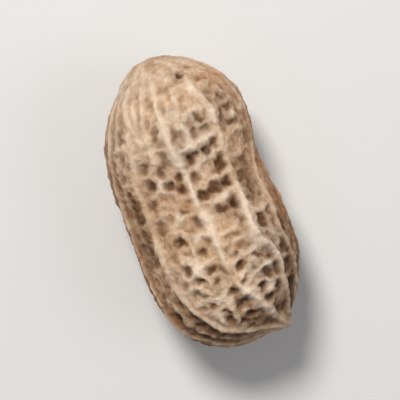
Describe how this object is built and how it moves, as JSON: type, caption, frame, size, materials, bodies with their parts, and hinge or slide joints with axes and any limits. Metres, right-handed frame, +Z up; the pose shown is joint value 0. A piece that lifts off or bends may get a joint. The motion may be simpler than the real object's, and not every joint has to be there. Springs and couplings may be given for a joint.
{
  "type": "peanut",
  "caption": "Whole dry peanut in its shell, a plump two-lobed pod with a shallow waist, netted lengthwise ribs and a small beak, lying on its side.",
  "frame": {"origin": "on the ground plane, under the middle of the pod's bounding box", "axes": "+X along the pod from the stem end to the beak end, +Z up from the surface it rests on, +Y across the pod towards the side the beak leans to"},
  "size_m": [0.0336, 0.018, 0.0159],
  "materials": {
    "shell": "matt, dry and fibrous, straw brown, paler on the ribs and darker in the pits between them"
  },
  "bodies": {
    "root": {"peanut_pod": "shell"}
  },
  "joints": []
}
